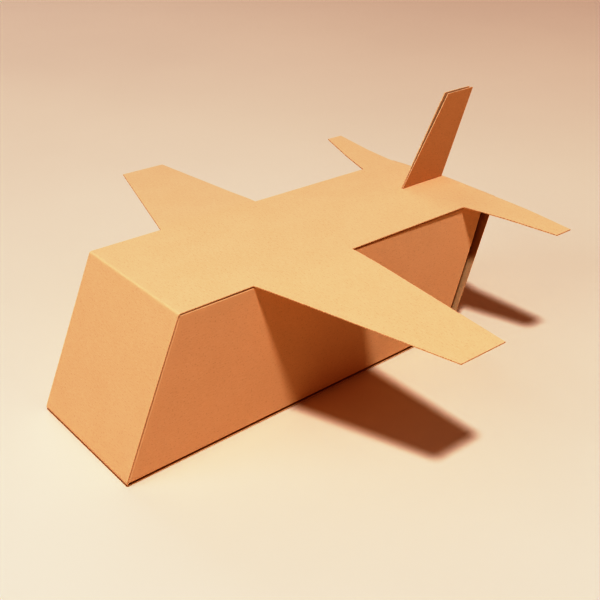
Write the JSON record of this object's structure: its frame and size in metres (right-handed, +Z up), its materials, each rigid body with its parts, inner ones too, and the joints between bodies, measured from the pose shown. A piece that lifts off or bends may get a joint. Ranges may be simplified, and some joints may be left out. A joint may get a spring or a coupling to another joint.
{
  "type": "folded card gift box",
  "caption": "Folded card gift box whose lid is cut to an airplane outline, with a closing flap at the rear and an upright two-ply tail fin.",
  "frame": {"origin": "on the floor, under the middle of the model's overall length and width", "axes": "+Z up; -Y towards the airplane's nose (the lid's hinge end), +Y towards the tail; +X to port"},
  "size_m": [0.1386, 0.1312, 0.0618],
  "materials": {
    "card": "matte",
    "card_fold": "matte"
  },
  "bodies": {
    "box": {"front_panel": "card", "base_crease": "card_fold", "bottom_panel": "card", "lid_crease": "card_fold", "port_side_panel": "card", "port_front_flap": "card", "port_base_flap": "card", "starboard_side_panel": "card", "starboard_front_flap": "card", "starboard_base_flap": "card"},
    "lid": {"lid_panel": "card", "rear_crease": "card_fold", "fin_port_ply": "card", "fin_port_tab": "card", "fin_starboard_ply": "card", "fin_starboard_tab": "card"},
    "closing_flap": {"rear_panel": "card", "tuck_crease": "card_fold"},
    "tuck": {"tuck_flap": "card"},
    "port_dust": {"port_dust_flap": "card"},
    "starboard_dust": {"starboard_dust_flap": "card"},
    "port_rear": {"port_rear_flap": "card"},
    "starboard_rear": {"starboard_rear_flap": "card"}
  },
  "joints": [
    {"name": "lid_hinge", "type": "hinge", "parent": "box", "child": "lid", "pos_m": [0, -0.04751, 0.0392], "axis": [1, 0, 0], "range_deg": [0, 110]},
    {"name": "closing_flap_hinge", "type": "hinge", "parent": "lid", "child": "closing_flap", "pos_m": [0, 0.05566, 0.03691], "axis": [1, 0, 0], "range_deg": [0, 100]},
    {"name": "tuck_hinge", "type": "hinge", "parent": "closing_flap", "child": "tuck", "pos_m": [0, 0.04095, 0.00113], "axis": [1, 0, 0], "range_deg": [-70, 24]},
    {"name": "port_dust_hinge", "type": "hinge", "parent": "box", "child": "port_dust", "pos_m": [0.0196, -0.04754, 0.0385], "axis": [0, -0.9995, 0.0301], "range_deg": [0, 75]},
    {"name": "starboard_dust_hinge", "type": "hinge", "parent": "box", "child": "starboard_dust", "pos_m": [-0.0196, -0.04754, 0.0385], "axis": [0, 0.9995, -0.0301], "range_deg": [0, 75]},
    {"name": "port_rear_hinge", "type": "hinge", "parent": "box", "child": "port_rear", "pos_m": [0.0196, 0.05192, 0.03591], "axis": [0, 0.367, 0.9302], "range_deg": [0, 75]},
    {"name": "starboard_rear_hinge", "type": "hinge", "parent": "box", "child": "starboard_rear", "pos_m": [-0.0196, 0.05192, 0.03591], "axis": [0, -0.367, -0.9302], "range_deg": [0, 75]}
  ],
  "couplings": [
    {"joint": "closing_flap_hinge", "follows": "lid_hinge", "ratio": 0.9}
  ]
}
